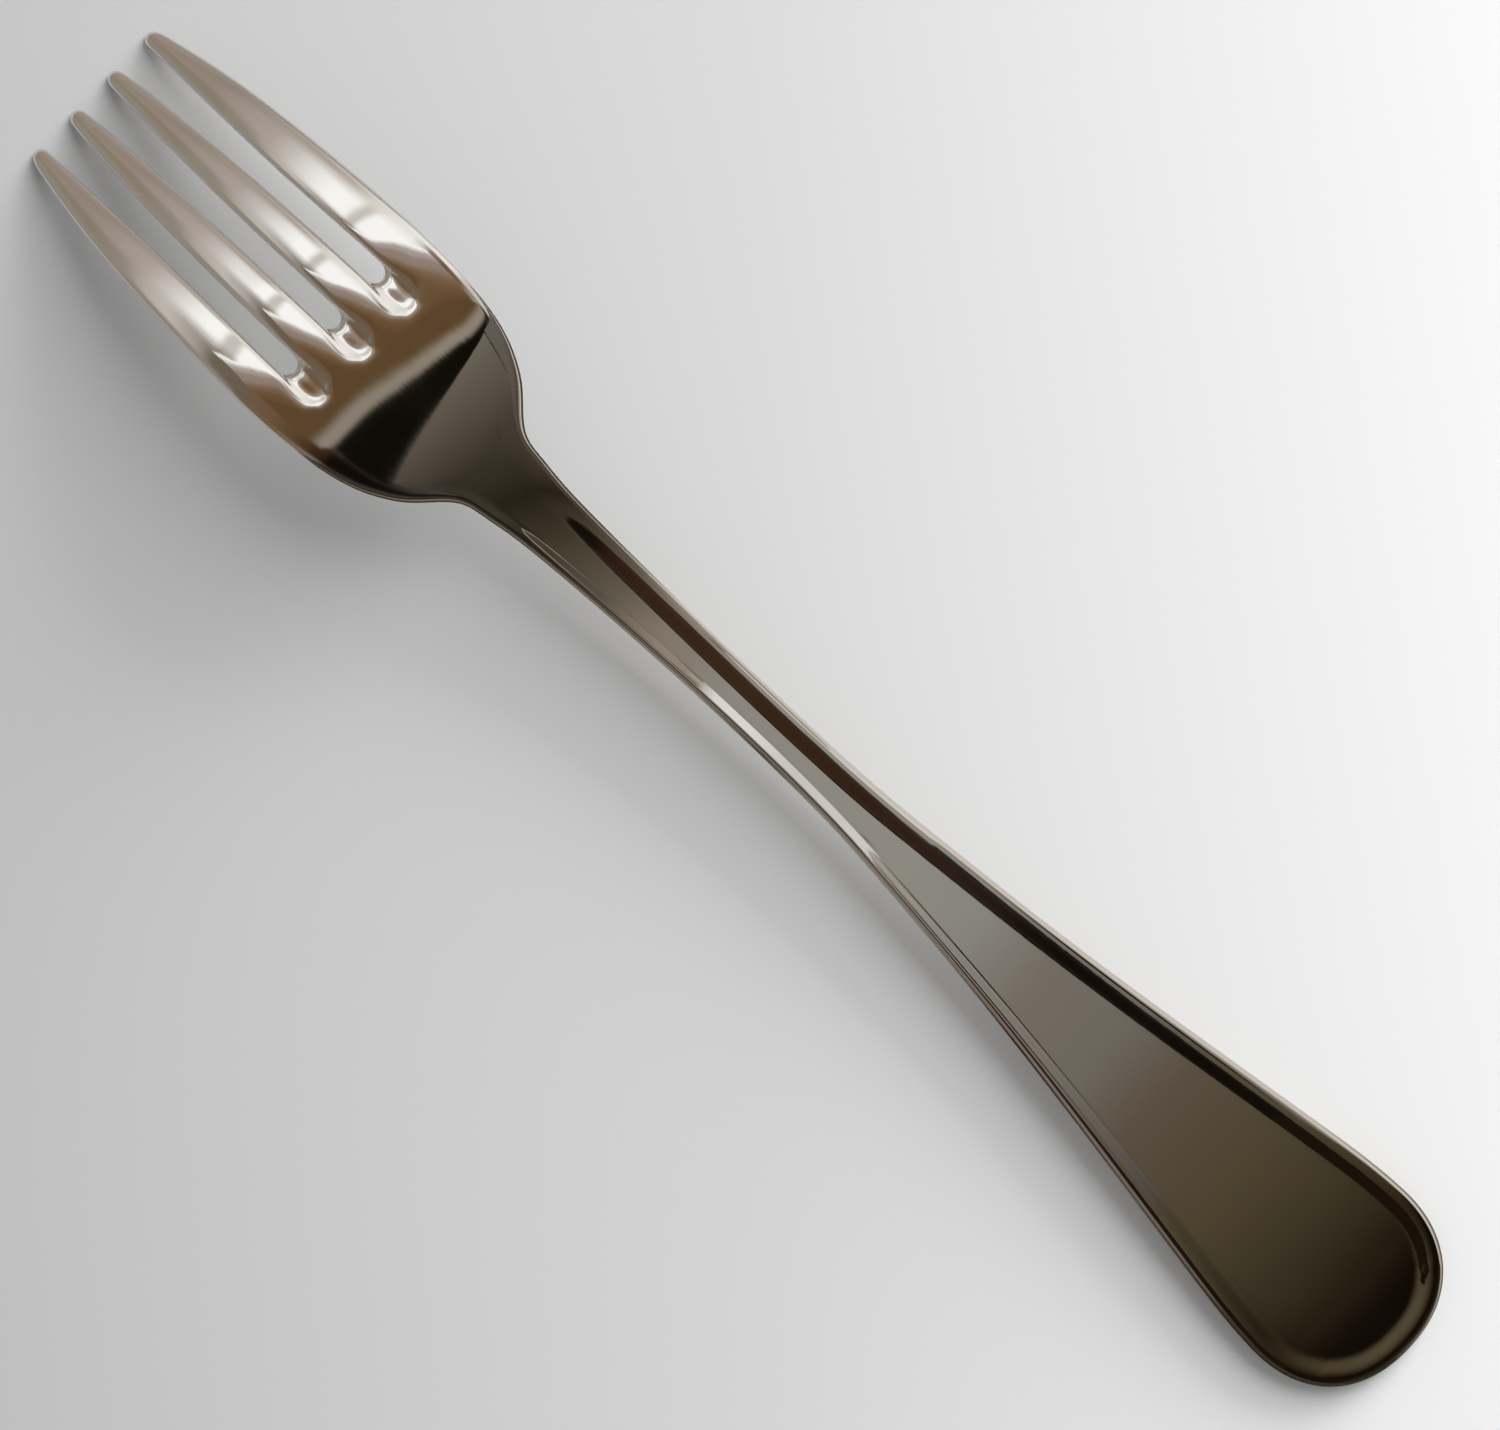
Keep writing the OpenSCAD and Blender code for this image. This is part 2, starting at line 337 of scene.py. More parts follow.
@dataclass
class Head:
    """Four tines and the base that they spring from."""

    blank: Blank
    section: Section
    slot_spacing: float = 6.6
    slot_width: float = 2.3
    point_spacing: float = 5.8
    point_width: float = 2.0
    point_round: float = 1.3
    point_level: float = 0.74
    point_start: float = -0.3
    point_full: float = 2.0
    point_insets: Floats = (0.0, 0.18, 0.6)
    point_angles: tuple[Floats, ...] = ((62, 42, 22, 0), (80, 60, 32, 0), (96, 84, 60, 0))
    insets: Floats = (0.0, 0.18, 0.75)
    slim_half: float = 1.7
    sunk: float = 3.0
    sunk_reach: Reach = (33.0, 42.6, 42.6, 54.0)
    edge_sunk: float = 2.1
    edge_start: float = 31.0
    edge_full: float = 39.3
    neck_blend_start: float = 44.0
    neck_blend_full: float = 62.0
    tine_places: Floats = (
        0.0, 0.4, 0.9, 2.0, 3.6, 5.6, 7.8, 10.2, 12.7, 15.2, 17.7, 20.2, 22.7, 25.2, 27.6, 29.8, 31.8, 33.6,
        35.2, 36.6,
    )
    base_places: Floats = (
        38.0, 39.3, 40.4, 41.4, 42.5, 43.9, 45.3, 46.7, 48.1, 49.5, 50.9, 52.3, 53.6, 54.8, 56.0, 57.2, 58.4,
    )
    back_arcs: tuple[Arc, ...] = (
        Arc(37.2, 1.15, 0.35, 0.7), Arc(40.4, 1.4, 0.72, 0.62), Arc(40.7, 2.0, 0.985, 1.0),
    )
    front_arcs: tuple[Arc, ...] = (
        Arc(36.9, 1.2, 0.35, 0.5), Arc(37.2, 1.5, 0.8, 0.85), Arc(37.5, 2.1, 0.985, 1.0),
    )
    arc_angles: tuple[Floats, ...] = (
        (0, 45, 90), (-20, 16, 48, 70, 90), (-30, 0, 24, 48, 63, 77, 90),
    )
    arc_length: float = 1.05

    def __post_init__(self) -> None:
        """Fits the curves of the tines and lays out the columns at the slot bottoms."""
        self.taper = Sweep([
            (0, 0), (0.08, 0.12), (0.19, 0.37), (0.31, 0.59), (0.48, 0.8), (0.7, 0.95), (1, 1),
        ])
        self.splay = Sweep([(0, 0), (0.15, 0.27), (0.31, 0.5), (0.6, 0.74), (0.85, 0.93), (1, 1)])
        half = self.blank.head_width / 2
        outer_width = half - self.slot_spacing - self.slot_width / 2
        inner_width = self.slot_spacing - self.slot_width
        outer, inner = half - outer_width / 2, self.slot_spacing / 2
        self.centres = (-outer, -inner, inner, outer)
        self.widths = (outer_width, inner_width, inner_width, outer_width)
        self.slots = (-self.slot_spacing, 0.0, self.slot_spacing)
        self.last_slot_row = len(self.tine_places) + 2

    def rows(self) -> list[Row]:
        """Rows of the cage from the points to the neck."""
        tines = [Row(Zone.TINE_1, place, i) for i, place in enumerate(self.tine_places)]
        base = [Row(Zone.HEAD_BASE, place, len(tines) + i) for i, place in enumerate(self.base_places)]
        return tines + base

    def front_place(self, s: float) -> float:
        """Place on the front face for a place on the back, nearer the points at the slots' bottoms."""
        return s - self.sunk * between(self.sunk_reach, s)

    def edge_place(self, s: float) -> float:
        """Place on a slot's edge for a place on the back, nearer the points at the slot's bottom."""
        return s - self.edge_sunk * ease(self.edge_start, self.edge_full, s)

    def spot(self, s: float, across: float, level: float, crown: float, back: bool) -> Spot:
        """Spot on the head at this share of half the thickness and with this share of the crown."""
        thinned = mix(self.point_level, 1.0, ease(self.point_start, self.point_full, s))
        lift = self.blank.thickness.at(s) / 2 * level * thinned + self.blank.crown * crown
        return (s, across, lift if back else -lift)

    def tine_spot(self, row: Row, column: int, back: bool) -> Spot:
        """Place of one point of the cage on a tine.

        Args:
            row: Row of the cage.
            column: Column of the cage, seven to a tine and one in each slot.
            back: True for the back of the fork.

        Returns:
            The spot on the blank.
        """
        number, lane = divmod(column, PERIOD)
        share = row.place / self.blank.tine_length
        centre = mix(self.point_spacing * (number - 1.5), self.centres[number], self.splay.at(share))
        half = mix(self.point_width, self.widths[number], self.taper.at(share)) / 2
        side = -1 if lane < 3 else 1
        depth = min(lane, LANES - 1 - lane)
        ring = min(depth, row.index)
        level, crown = self.section.head_levels[ring], float(ring > 2)
        if row.index < len(self.point_angles):
            angle = math.radians(self.point_angles[row.index][depth])
            inset = self.point_insets[ring]
            s = self.point_round - (self.point_round - inset) * math.cos(angle)
            return self.spot(s, centre + side * (half - inset) * math.sin(angle), level, crown, back)
        slim = min(1.0, half / self.slim_half)
        across = centre + side * (half - self.insets[depth] * slim) if depth < 3 else centre
        s = row.place if back else self.front_place(row.place)
        if depth == 0 and 0 < column < COLUMNS - 1:
            s = self.edge_place(row.place)
        return self.spot(s, across, level, crown, back)

    def head_lane(self, column: int) -> float:
        """Place of a column across the head at the slot bottoms."""
        number, lane = divmod(column, PERIOD)
        if lane == LANES:
            return self.slots[number]
        depth = min(lane, LANES - 1 - lane)
        if depth == 3:
            return self.centres[number]
        side = -1 if lane < 3 else 1
        return self.centres[number] + (self.widths[number] / 2 - self.insets[depth]) * side

    def slot_spot(self, row: Row, column: int, back: bool) -> Spot | None:
        """Place of a point of the cage that lies on or round a slot bottom.

        Args:
            row: Row of the cage.
            column: Column of the cage.
            back: True for the back of the fork.

        Returns:
            The spot on the blank, or None for a point that is no part of a slot bottom.
        """
        step = row.index - self.last_slot_row
        near = min(range(3), key=lambda i: abs(column - (LANES + PERIOD * i)))
        aside = column - (LANES + PERIOD * near)
        if abs(aside) > 3 or not -1 <= step <= 2:
            return None
        ring = max(abs(aside) - 1, step, 0)
        order = 1 + step if aside and ring == abs(aside) - 1 else 2 + 2 * ring - abs(aside)
        arc = (self.back_arcs if back else self.front_arcs)[ring]
        turn = math.radians(self.arc_angles[ring][order])
        s = arc.centre + arc.radius * self.arc_length * math.sin(turn)
        across = self.slots[near]
        if aside:
            across += math.copysign(1, aside) * arc.radius * math.cos(max(turn, 0.0))
        level = mix(arc.side_level, arc.end_level, max(math.sin(turn), 0.0) ** 2)
        return self.spot(s, across, level, 0.5 * (ring > 1), back)

    def base_spot(self, row: Row, column: int, back: bool, shaft: "Shaft") -> Spot:
        """Place of one point of the cage on the head base.

        Args:
            row: Row of the cage.
            column: Column of the cage.
            back: True for the back of the fork.
            shaft: The neck and handle, whose columns the base runs into.

        Returns:
            The spot on the blank.
        """
        spot = self.slot_spot(row, column, back)
        if spot:
            return spot
        blend = ease(self.neck_blend_start, self.neck_blend_full, row.place)
        place = row.place if back else self.front_place(row.place)
        s = place
        depth, side = edge(column)
        across = self.blank.half_width.at(s) * self.head_lane(column) / (self.blank.head_width / 2)
        if depth < 3:
            s, across = shaft.outline(s, self.insets[depth], side)
        ring = depth
        if row.index < self.last_slot_row and column % PERIOD != LANES:
            ring = min(column % PERIOD, LANES - 1 - column % PERIOD)
            if ring == 0 and depth > 0:
                s = self.edge_place(row.place)
        at_head = self.spot(s, across, self.section.head_levels[min(ring, 3)], float(ring > 2), back)
        at_neck = shaft.spot(Row(Zone.NECK, place, row.index), column, back)
        return tuple(mix(a, b, blend) for a, b in zip(at_head, at_neck))


@dataclass
class Shaft:
    """Neck and handle, with the raised border along both edges and round the end.

    The field is the steel inside the border.
    """

    blank: Blank
    section: Section
    end_power: float = 2.25
    corner: float = 48.0
    corner_step: float = 4.0
    end_rows: int = 13
    side_power: float = 1.1
    fade_power: float = 1.4
    slope_step: float = 0.2
    field_gap: float = 0.65
    field_crown: float = 0.06
    full_crown_width: float = 12.0
    neck_places: Floats = (
        59.5, 60.6, 61.8, 63.1, 64.5, 66.1, 67.9, 70.0, 72.4, 75.0, 78.0, 81.2, 84.5, 88.0, 91.5, 95.0, 98.5,
        102.0, 105.5, 109.0, 112.5, 116.0,
    )
    handle_places: Floats = (
        119.5, 122.8, 126.1, 129.4, 132.7, 136.0, 139.3, 142.6, 145.9, 149.2, 152.5, 155.8, 159.1, 162.4,
        165.7, 169.0, 172.0, 174.8, 177.3, 179.5, 181.4,
    )

    def rows(self, first: int) -> list[Row]:
        """Rows of the cage from the head to the end of the handle, counted on from first."""
        places = [(Zone.NECK, s) for s in self.neck_places]
        places += [(Zone.HANDLE, s) for s in self.handle_places]
        places += [(Zone.HANDLE, self.blank.end_start)] * (self.end_rows + 1)
        return [Row(zone, s, first + i) for i, (zone, s) in enumerate(places)]

    def outline(self, s: float, inset: float, side: int) -> tuple[float, float]:
        """Distance from the points and place across of a point this far inside the edge, square to it."""
        width, step = self.blank.half_width, self.slope_step
        slope = (width.at(s + step) - width.at(s - step)) / (2 * step)
        size = math.hypot(1, slope)
        return s + inset * slope / size, side * (width.at(s) - inset / size)

    def spot(self, row: Row, column: int, back: bool) -> Spot:
        """Place of one point of the cage where the edges are long.

        Args:
            row: Row of the cage.
            column: Column of the cage.
            back: True for the back of the fork.

        Returns:
            The spot on the blank.
        """
        depth, side = edge(column)
        half = self.blank.thickness.at(row.place) / 2
        lift = self.section.shaft_lift(depth, half, self.blank.border(row.place))
        if depth < BORDER:
            s, across = self.outline(row.place, self.section.rings(side, row.place)[depth], side)
        else:
            s_low, low = self.outline(row.place, self.section.rings(-1, row.place)[-1], -1)
            s_high, high = self.outline(row.place, self.section.rings(1, row.place)[-1], 1)
            width = high - low
            first = 1 / (1 / self.field_gap + 8 / width) / width
            share = mix(first, 1 - first, (column - BORDER) / FIELD)
            across = mix(low, high, share)
            s = row.place + (mix(s_low, s_high, share) - row.place) * (2 * share - 1) ** 2
            lift += self.crown(column) * min(1.0, width / self.full_crown_width)
        return (s, across, lift if back else -lift)

    def crown(self, column: int) -> float:
        """Height that the field's slight crown adds in a column between the borders."""
        share = (column - BORDER + 1) / (FIELD + 2)
        return self.field_crown * (1 - (2 * share - 1) ** 2)

    def end_point(self, angle: float, ring: int) -> tuple[float, float]:
        """Point on the rounded end of the handle.

        Args:
            angle: Angle from the tip of the end, positive towards the far side, in degrees.
            ring: Rings in from the outline.

        Returns:
            Distance from the points, and place across.
        """
        side = -1 if angle < 0 else 1
        rings = self.section.rings(side, self.blank.end_start)
        inset = (*rings, rings[-1] + self.section.inner_step)[ring]
        turn = math.radians(min(abs(angle), 90.0))
        along = max(math.cos(turn), 0.0) ** (2 / self.end_power)
        out = math.sin(turn) ** (2 / self.end_power)
        s = self.blank.end_start + (self.blank.end_length - self.section.end_rings[ring]) * along
        return s, side * (self.blank.handle_width / 2 - inset) * out

    def end_spot(self, step: int, column: int, back: bool) -> Spot:
        """Place of one point of the cage on the rounded end.

        Args:
            step: Rows in from the very end.
            column: Column of the cage.
            back: True for the back of the fork.

        Returns:
            The spot on the blank.
        """
        depth, side = edge(column)
        ring = min(depth, step, BORDER)
        inner_rows = self.end_rows - BORDER
        if depth <= BORDER and step <= BORDER:
            angle = self.corner + (step - depth) * self.corner_step
            s, across = self.end_point(side * angle, ring)
        elif step <= BORDER:
            reach = self.corner - (BORDER - step) * self.corner_step
            s, across = self.end_point(reach * (column - MIDDLE) / (MIDDLE - BORDER), ring)
        elif depth <= BORDER:
            near = self.corner + (BORDER - depth) * self.corner_step
            angle = mix(near, 90.0, ((step - BORDER) / inner_rows) ** self.side_power)
            s, across = self.end_point(side * angle, ring)
        else:
            far_column = COLUMNS - 1 - BORDER
            feet = [self.end_spot(step, c, back) for c in (BORDER, far_column)]
            arc = [self.end_spot(BORDER, c, back) for c in (BORDER, column, far_column)]
            share = (arc[1][1] - arc[0][1]) / (arc[2][1] - arc[0][1])
            fade = ((self.end_rows - step) / inner_rows) ** self.fade_power
            bulge = arc[1][0] - mix(arc[0][0], arc[2][0], share)
            s = mix(feet[0][0], feet[1][0], share) + bulge * fade
            across = mix(feet[0][1], feet[1][1], mix((column - BORDER) / FIELD, share, fade))
        lift = self.section.shaft_lift(ring, self.blank.thickness.at(s) / 2, self.blank.border_height)
        if ring == BORDER:
            lift += self.crown(column) * min((step - BORDER + 1) / BORDER, 1)
        return (s, across, lift if back else -lift)


def put(name: str, data: bpy.types.ID | bmesh.types.BMesh) -> bpy.types.Object:
    """Puts an object into the scene.

    Args:
        name: Name of the object, and of its mesh if that is made here.
        data: What the object holds, or the geometry of its mesh, which is freed.

    Returns:
        The object.
    """
    if isinstance(data, bmesh.types.BMesh):
        mesh = bpy.data.meshes.new(name)
        data.to_mesh(mesh)
        data.free()
        data = mesh
    thing = bpy.data.objects.new(name, data)
    bpy.context.scene.collection.objects.link(thing)
    return thing


def add_node(
    tree: bpy.types.NodeTree, kind: str, inputs: dict | None = None, **settings: object,
) -> bpy.types.Node:
    """Adds a node to a tree.

    Args:
        tree: Tree to add it to.
        kind: Type of the node.
        inputs: Value or source socket of the inputs that are set, by their names or numbers.
        settings: Other settings of the node.

    Returns:
        The node.
    """
    node = tree.nodes.new(kind)
    for name, value in settings.items():
        setattr(node, name, value)
    for port, value in (inputs or {}).items():
        if isinstance(value, bpy.types.NodeSocket):
            tree.links.new(value, node.inputs[port])
        else:
            node.inputs[port].default_value = value
    return node


def remap(
    tree: bpy.types.NodeTree, value: bpy.types.NodeSocket, source: tuple[float, float],
    target: tuple[float, float] = (0.0, 1.0), **settings: str,
) -> bpy.types.NodeSocket:
    """Adds a node that maps a value from its source range to the target range."""
    ranges = {"From Min": source[0], "From Max": source[1], "To Min": target[0], "To Max": target[1]}
    return add_node(tree, "ShaderNodeMapRange", {"Value": value, **ranges}, **settings).outputs["Result"]


def ramp(
    tree: bpy.types.NodeTree, value: bpy.types.NodeSocket, stops: Sequence[Stop], unit: float,
    ends: tuple[float, float] | None = None,
) -> bpy.types.NodeSocket:
    """Adds a colour ramp over the places of its stops.

    Args:
        tree: Tree to add it to.
        value: Socket with the value that is looked up.
        stops: Place, red, green and blue of each stop.
        unit: How much the value grows over one unit of place.
        ends: Places where the ramp begins and ends, when these aren't its first and last stop.

    Returns:
        The socket with the colour.
    """
    first, last = ends or (stops[0][0], stops[-1][0])
    share = remap(tree, value, (first * unit, last * unit))
    node = add_node(tree, "ShaderNodeValToRGB", {"Fac": share})
    elements = node.color_ramp.elements
    while len(elements) < len(stops):
        elements.new(1.0)
    for element, (place, *colour) in zip(elements, stops):
        element.position = (place - first) / (last - first)
        element.color = (*colour, 1)
    return node.outputs["Color"]


def new_material(name: str) -> tuple[bpy.types.Material, bpy.types.NodeTree]:
    """Makes a material, and gives it with its tree of nodes."""
    material = bpy.data.materials.new(name)
    material.use_nodes = True
    return material, material.node_tree


@dataclass
class Fork:
    """The pressed blank as one smooth surface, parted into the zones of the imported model."""

    blank: Blank = field(default_factory=Blank)
    section: Section = field(default_factory=Section)
    smoothing: int = 2

    def __post_init__(self) -> None:
        """Sets up the zones and their rows."""
        self.head = Head(self.blank, self.section)
        self.shaft = Shaft(self.blank, self.section)
        self.rows = self.head.rows()
        self.rows += self.shaft.rows(len(self.rows))

    def spot(self, row: Row, column: int, back: bool) -> Spot:
        """Place of one point of the cage.

        Args:
            row: Row of the cage.
            column: Column of the cage.
            back: True for the back of the fork.

        Returns:
            The spot on the blank.
        """
        steps_left = len(self.rows) - 1 - row.index
        if row.zone is Zone.TINE_1:
            return self.head.tine_spot(row, column, back)
        if row.zone is Zone.HEAD_BASE:
            return self.head.base_spot(row, column, back, self.shaft)
        if steps_left <= self.shaft.end_rows:
            return self.shaft.end_spot(steps_left, column, back)
        return self.shaft.spot(row, column, back)

    def cage(self) -> bmesh.types.BMesh:
        """Builds the closed control cage of the blank.

        Returns:
            The cage, whose faces carry their zone's number in the layer named zone.
        """
        bm = bmesh.new()
        row_layer = bm.verts.layers.int.new("row")
        column_layer = bm.verts.layers.int.new("column")
        last = len(self.rows) - 1
        bmesh.ops.create_grid(bm, x_segments=COLUMNS - 1, y_segments=last, size=0.5)
        for vert in bm.verts:
            vert[row_layer] = round((vert.co.y + 0.5) * last)
            vert[column_layer] = round((vert.co.x + 0.5) * (COLUMNS - 1))
        slots = [
            face
            for face in bm.faces
            if lowest(face, column_layer) % PERIOD >= LANES - 1
            and lowest(face, row_layer) < self.head.last_slot_row
        ]
        bmesh.ops.delete(bm, geom=slots, context="FACES")
        front = bmesh.ops.extrude_face_region(bm, geom=bm.faces[:], use_keep_orig=True)["geom"]
        front_verts = {element for element in front if isinstance(element, bmesh.types.BMVert)}
        for vert in bm.verts:
            row = self.rows[vert[row_layer]]
            vert.co = self.blank.point(self.spot(row, vert[column_layer], vert not in front_verts))
        bmesh.ops.recalc_face_normals(bm, faces=bm.faces[:])
        bm.verts.index_update()
        rings = []
        for face in bm.faces:
            ring = [vert.index for vert in face.verts]
            zone = self.zone_of(lowest(face, row_layer), lowest(face, column_layer))
            rings.append((min(ring, ring[2:] + ring[:2]), zone.value))
        # The extrusion's order changes from run to run, so the cage is built anew in a fixed order.
        cage = bmesh.new()
        zone_layer = cage.faces.layers.int.new("zone")
        verts = [cage.verts.new(vert.co) for vert in bm.verts]
        bm.free()
        for ring, zone in sorted(rings):
            face = cage.faces.new([verts[index] for index in ring])
            face[zone_layer] = zone
            face.smooth = True
        return cage

    def zone_of(self, row: int, column: int) -> Zone:
        """Zone of the face whose first corner is in this row and column."""
        zone = self.rows[row].zone
        if zone is not Zone.TINE_1:
            return zone
        return Zone(column // PERIOD) if self.rows[row + 1].zone is zone else Zone.HEAD_BASE

    def surface(self) -> bpy.types.Mesh:
        """Smooths the cage and keeps the smooth surface's normals in an attribute.

        Returns:
            The surface of the whole blank.
        """
        carrier = put("blank_cage", self.cage())
        mesh = carrier.data
        smooth = carrier.modifiers.new("smooth", "SUBSURF")
        smooth.levels = smooth.render_levels = self.smoothing
        bpy.context.view_layer.update()
        whole = bpy.data.meshes.new_from_object(carrier.evaluated_get(bpy.context.evaluated_depsgraph_get()))
        bpy.data.objects.remove(carrier)
        bpy.data.meshes.remove(mesh)
        normals = whole.attributes.new("blank_normal", "FLOAT_VECTOR", "POINT")
        for index, vertex in enumerate(whole.vertices):
            normals.data[index].vector = vertex.normal
        return whole

    def part(self, whole: bpy.types.Mesh, zone: Zone) -> bpy.types.Object:
        """Cuts one zone out of the surface and closes it where it meets its neighbours.

        Args:
            whole: Surface of the whole blank.
            zone: Zone to keep.

        Returns:
            The zone's piece, shaded with the whole surface's normals.
        """
        bm = bmesh.new()
        bm.from_mesh(whole)
        zone_layer = bm.faces.layers.int["zone"]
        others = [face for face in bm.faces if face[zone_layer] != zone.value]
        bmesh.ops.delete(bm, geom=others, context="FACES")
        outer = len(bm.faces)
        open_edges = [item for item in bm.edges if item.is_boundary]
        ends = bmesh.ops.holes_fill(bm, edges=open_edges, sides=0)["faces"]
        for face in ends:
            face.smooth = False
            rim = face.loops[0]
            if rim.vert == rim.link_loop_radial_next.vert:
                face.normal_flip()
        bmesh.ops.triangulate(bm, faces=ends)
        piece = put(zone.node + "_steel", bm)
        mesh = piece.data
        stored = mesh.attributes["blank_normal"].data
        shading = [(0.0, 0.0, 0.0)] * len(mesh.loops)
        for polygon in mesh.polygons:
            for loop in polygon.loop_indices:
                smooth_normal = stored[mesh.loops[loop].vertex_index].vector
                shading[loop] = (smooth_normal if polygon.use_smooth else polygon.normal)[:]
        mesh.normals_split_custom_set(shading)
        log.info("%s: %d faces, %d of them outside", piece.name, len(mesh.polygons), outer)
        return piece

    def build(self, finish: bpy.types.Material) -> list[bpy.types.Object]:
        """Makes every zone of the fork and dresses it.

        Args:
            finish: Material of the steel.

        Returns:
            The pieces.
        """
        whole = self.surface()
        pieces = []
        for zone in Zone:
            piece = self.part(whole, zone)
            piece.data.materials.append(finish)
            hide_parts(zone.node)
            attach(piece, "root")
            pieces.append(piece)
        bpy.data.meshes.remove(whole)
        return pieces


@dataclass(frozen=True)
class PolishedSteel:
    """Hand-polished stainless steel, with fine wheel marks and faint smears."""

    colour: tuple[float, float, float] = (0.72, 0.70, 0.67)
    roughness: float = 0.045
    smear_roughness: float = 0.1
    smear_scale: float = 90.0
    smear_detail: float = 4.0
    smear_distortion: float = 0.6
    smear_start: float = 0.42
    smear_full: float = 0.75
    mark_scale: Spot = (60.0, 2600.0, 900.0)
    mark_detail: float = 3.0
    mark_depth: float = 0.012
    mark_strength: float = 0.2

    def marks(self) -> bpy.types.NodeTree:
        """Builds the group of wheel marks and smears, told in the fork's own coordinates.

        Returns:
            The node group, with a height and a smear mask.
        """
        group = bpy.data.node_groups.new("wheel_marks", "ShaderNodeTree")
        group.interface.new_socket("Vector", in_out="INPUT", socket_type="NodeSocketVector")
        for name in ("Height", "Smear"):
            group.interface.new_socket(name, in_out="OUTPUT", socket_type="NodeSocketFloat")
        place = add_node(group, "NodeGroupInput").outputs["Vector"]
        along = add_node(group, "ShaderNodeMapping", {"Vector": place, "Scale": self.mark_scale})
        fine = {"Scale": 1.0, "Detail": self.mark_detail}
        lines = add_node(group, "ShaderNodeTexNoise", {"Vector": along.outputs["Vector"], **fine})
        broad = {"Scale": self.smear_scale, "Detail": self.smear_detail, "Distortion": self.smear_distortion}
        smears = add_node(group, "ShaderNodeTexNoise", {"Vector": place, **broad})
        level = remap(group, smears.outputs["Fac"], (self.smear_start, self.smear_full))
        add_node(group, "NodeGroupOutput", {"Height": lines.outputs["Fac"], "Smear": level})
        return group

    def material(self) -> bpy.types.Material:
        """Builds the material.

        Returns:
            The material for every zone of the fork.
        """
        material, tree = new_material("polished_steel")
        shader = tree.nodes["Principled BSDF"]
        shader.inputs["Base Color"].default_value = (*self.colour, 1)
        shader.inputs["Metallic"].default_value = 1.0
        where = add_node(tree, "ShaderNodeTexCoord")
        place = {"Vector": where.outputs["Object"]}
        marks = add_node(tree, "ShaderNodeGroup", place, node_tree=self.marks())
        spread = remap(tree, marks.outputs["Smear"], (0.0, 1.0), (self.roughness, self.smear_roughness))
        depths = {"Strength": self.mark_strength, "Distance": self.mark_depth * MM}
        bump = add_node(tree, "ShaderNodeBump", {"Height": marks.outputs["Height"], **depths})
        tree.links.new(spread, shader.inputs["Roughness"])
        tree.links.new(bump.outputs["Normal"], shader.inputs["Normal"])
        return material


@dataclass(frozen=True)
class Lamp:
    """Soft square lamp that points at the fork, in metres and watts."""

    name: str
    place: Spot
    size: float
    power: float


@dataclass(frozen=True)
class Strip:
    """Strip of the room that runs along the fork, from the handle's side over the top to the points' side.

    It lies over the strips before it from the direction, in degrees to the side, where it begins to
    the one where it covers them. Its stops are degrees along the fork and colours.
    """

    stops: tuple[Stop, ...]
    begins: float = 0.0
    covers: float = 0.0


@dataclass(frozen=True)
class Board:
    """Painted board over the fork, in millimetres, whose stops are places along the fork and colours.

    Its bands run slanted between the two places across the fork that slanted names, and straight
    across beyond them. A slant of 1 is 45 degrees.
    """

    name: str
    height: float
    corners: tuple[tuple[float, float], ...]
    stops: tuple[Stop, ...]
    slant: float = 0.0
    slanted: tuple[float, float] = (-200.0, 200.0)


